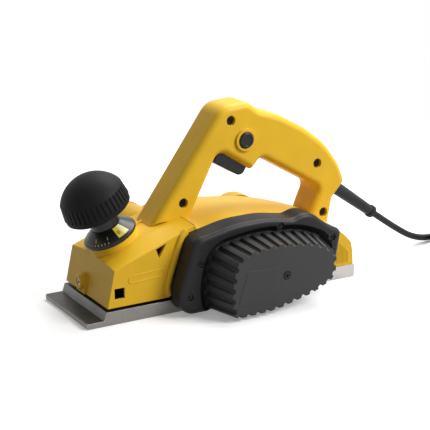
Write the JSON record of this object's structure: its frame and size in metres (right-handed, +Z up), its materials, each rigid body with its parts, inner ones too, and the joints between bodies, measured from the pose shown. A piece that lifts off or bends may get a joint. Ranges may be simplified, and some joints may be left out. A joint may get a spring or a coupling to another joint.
{
  "type": "electric hand planer",
  "caption": "Hand-held electric planer: belt-driven cutter drum between two flat shoes, turning depth knob in front, loop handle with trigger, side chip outlet and mains cord.",
  "frame": {"origin": "on the cutting line, where the knives meet the work, at the middle of the knives' width", "axes": "+X towards the rear, where the cord leaves; -Y towards the belt cover; +Z up from the sole; the sole plane is z = 0"},
  "size_m": [0.5155, 0.1629, 0.1807],
  "materials": {
    "shoe_aluminium": "milled, satin",
    "yellow_plastic": "moulded, fine texture, slight sheen",
    "charcoal_plastic": "moulded, satin",
    "black_rubber": "soft-touch",
    "black_plastic": "moulded, satin",
    "screw_steel": "blackened",
    "bright_steel": "ground",
    "spring_steel": "drawn wire",
    "drum_aluminium": "turned",
    "plate_aluminium": "die cast",
    "bearing_steel": "polished",
    "core_steel": "laminated",
    "copper": "enamelled wire",
    "brass": "drawn",
    "carbon": "pressed",
    "fan_plastic": "moulded",
    "belt_rubber": "ribbed",
    "cord_rubber": "matt",
    "capacitor_case": "moulded"
  },
  "bodies": {
    "body": {"rear_shoe": "shoe_aluminium", "shoe_screws": "screw_steel", "shoe_spring": "spring_steel", "front_housing": "yellow_plastic", "main_housing": "yellow_plastic", "fence_clamp_screw": "screw_steel", "bearing_plate": "plate_aluminium", "plate_screws": "screw_steel", "drive_cover": "charcoal_plastic", "cover_screws": "screw_steel", "belt_cover": "charcoal_plastic", "belt_cover_screw": "screw_steel", "drum_bearing_drive": "bearing_steel", "drum_bearing_far": "bearing_steel", "drum_bearing_cap": "yellow_plastic", "drive_belt": "belt_rubber", "stator_core": "core_steel", "field_coils": "copper", "motor_bearing_drive": "bearing_steel", "motor_bearing_rear": "bearing_steel", "carbon_brushes": "carbon", "brush_holders": "brass", "motor_end_cap": "yellow_plastic", "chip_chute": "yellow_plastic", "handle_left": "yellow_plastic", "handle_right": "yellow_plastic", "handle_screws": "screw_steel", "trigger_spring": "spring_steel", "switch_module": "black_plastic", "lock_spring": "spring_steel", "suppressor": "capacitor_case", "strain_relief": "cord_rubber", "cord_clamp": "black_plastic", "inner_cord": "cord_rubber", "power_cord": "cord_rubber", "cord_coil": "cord_rubber", "plug_body": "cord_rubber", "plug_pins": "brass"},
    "drum": {"cutter_drum": "drum_aluminium", "drum_shaft": "bright_steel", "knife_a": "bright_steel", "knife_b": "bright_steel", "knife_clamp_a": "bright_steel", "knife_clamp_b": "bright_steel", "clamp_bolts": "screw_steel", "drum_pulley": "drum_aluminium", "drum_nut": "bright_steel"},
    "rotor": {"motor_pulley": "drum_aluminium", "armature_shaft": "bright_steel", "armature_core": "core_steel", "armature_windings": "copper", "commutator": "copper", "cooling_fan": "fan_plastic"},
    "knob": {"knob_grip": "black_rubber", "knob_core": "black_plastic", "depth_dial": "black_plastic", "depth_spindle": "bright_steel"},
    "sole": {"front_shoe": "shoe_aluminium"},
    "trigger": {"trigger": "black_plastic"},
    "lock": {"lock_button": "black_plastic"}
  },
  "joints": [
    {"name": "drum_spin", "type": "hinge", "parent": "body", "child": "drum", "pos_m": [0, 0, 0.027], "axis": [0, 1, 0], "continuous": true},
    {"name": "motor_spin", "type": "hinge", "parent": "body", "child": "rotor", "pos_m": [0.066, 0, 0.0465], "axis": [0, 1, 0], "continuous": true},
    {"name": "knob_turn", "type": "hinge", "parent": "body", "child": "knob", "pos_m": [-0.098, 0, 0.0683], "axis": [-0.4147, 0, 0.91], "range_deg": [0, 300]},
    {"name": "shoe_slide", "type": "slide", "parent": "body", "child": "sole", "axis": [-0.4147, 0, 0.91], "range_m": [0, 0.0025], "deforming": ["shoe_spring"]},
    {"name": "trigger_press", "type": "slide", "parent": "body", "child": "trigger", "axis": [0.5015, 0, 0.8652], "range_m": [0, 0.005], "stiffness_N_per_m": 600, "springref_m": -0.002, "deforming": ["trigger_spring"]},
    {"name": "lock_press", "type": "slide", "parent": "body", "child": "lock", "axis": [0, 1, 0], "range_m": [0, 0.003], "stiffness_N_per_m": 500, "springref_m": -0.001, "deforming": ["lock_spring"]}
  ],
  "couplings": [
    {"joint": "motor_spin", "follows": "drum_spin", "ratio": 2},
    {"joint": "knob_turn", "follows": "shoe_slide", "rad_per_m": 2094.4}
  ]
}
